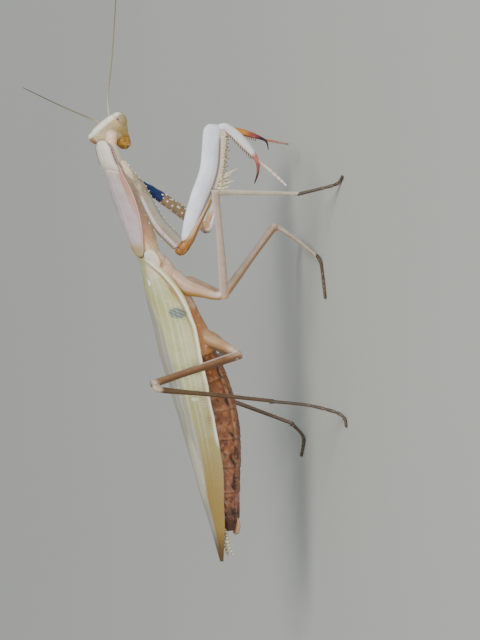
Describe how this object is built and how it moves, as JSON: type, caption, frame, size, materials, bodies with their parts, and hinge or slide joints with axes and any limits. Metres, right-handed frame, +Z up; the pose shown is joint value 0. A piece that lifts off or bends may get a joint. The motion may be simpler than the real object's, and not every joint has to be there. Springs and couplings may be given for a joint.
{
  "type": "praying mantis model",
  "caption": "Life-size still model of a slim winged praying mantis, standing on its walking legs with its forelegs raised and its head turned to one side.",
  "frame": {"origin": "on the floor, under the middle of the model's box", "axes": "+Z up; the trunk and the right feeler run along Y, with the head towards -Y; +X is the animal's left"},
  "size_m": [0.041, 0.0896, 0.0372],
  "materials": {
    "head_shell": "satin cream shell",
    "eye": "smooth, finely faceted",
    "mouthparts": "satin, spotted",
    "antenna": "matt, pale at the base",
    "neck_skin": "soft creased skin",
    "pronotum_shell": "satin, pink side line",
    "body_shell": "satin peach shell",
    "abdomen_shell": "satin, dark spots",
    "forewing": "waxy, finely veined",
    "cercus": "matt, beaded",
    "fore_coxa": "satin with pale warts",
    "fore_femur": "satin, spined",
    "fore_tibia": "satin, hooked",
    "walk_coxa": "satin",
    "walk_femur": "satin, ridged",
    "walk_tibia": "satin, finely haired",
    "tarsus": "satin, jointed"
  },
  "bodies": {
    "root": {"head": "head_shell", "eye_left": "eye", "eye_right": "eye", "mouthparts": "mouthparts", "antenna_left": "antenna", "antenna_right": "antenna", "neck": "neck_skin", "pronotum": "pronotum_shell", "prothorax": "body_shell", "thorax": "body_shell", "abdomen": "abdomen_shell", "forewing_left": "forewing", "forewing_right": "forewing", "cercus_left": "cercus", "cercus_right": "cercus", "fore_left_coxa": "fore_coxa", "fore_right_coxa": "fore_coxa", "fore_left_femur": "fore_femur", "fore_right_femur": "fore_femur", "fore_left_tibia": "fore_tibia", "fore_right_tibia": "fore_tibia", "mid_left_coxa": "walk_coxa", "mid_right_coxa": "walk_coxa", "hind_left_coxa": "walk_coxa", "hind_right_coxa": "walk_coxa", "mid_left_femur": "walk_femur", "mid_right_femur": "walk_femur", "hind_left_femur": "walk_femur", "hind_right_femur": "walk_femur", "mid_left_tibia": "walk_tibia", "mid_right_tibia": "walk_tibia", "hind_left_tibia": "walk_tibia", "hind_right_tibia": "walk_tibia", "fore_left_tarsus": "tarsus", "fore_right_tarsus": "tarsus", "mid_left_tarsus": "tarsus", "mid_right_tarsus": "tarsus", "hind_left_tarsus": "tarsus", "hind_right_tarsus": "tarsus"}
  },
  "joints": []
}
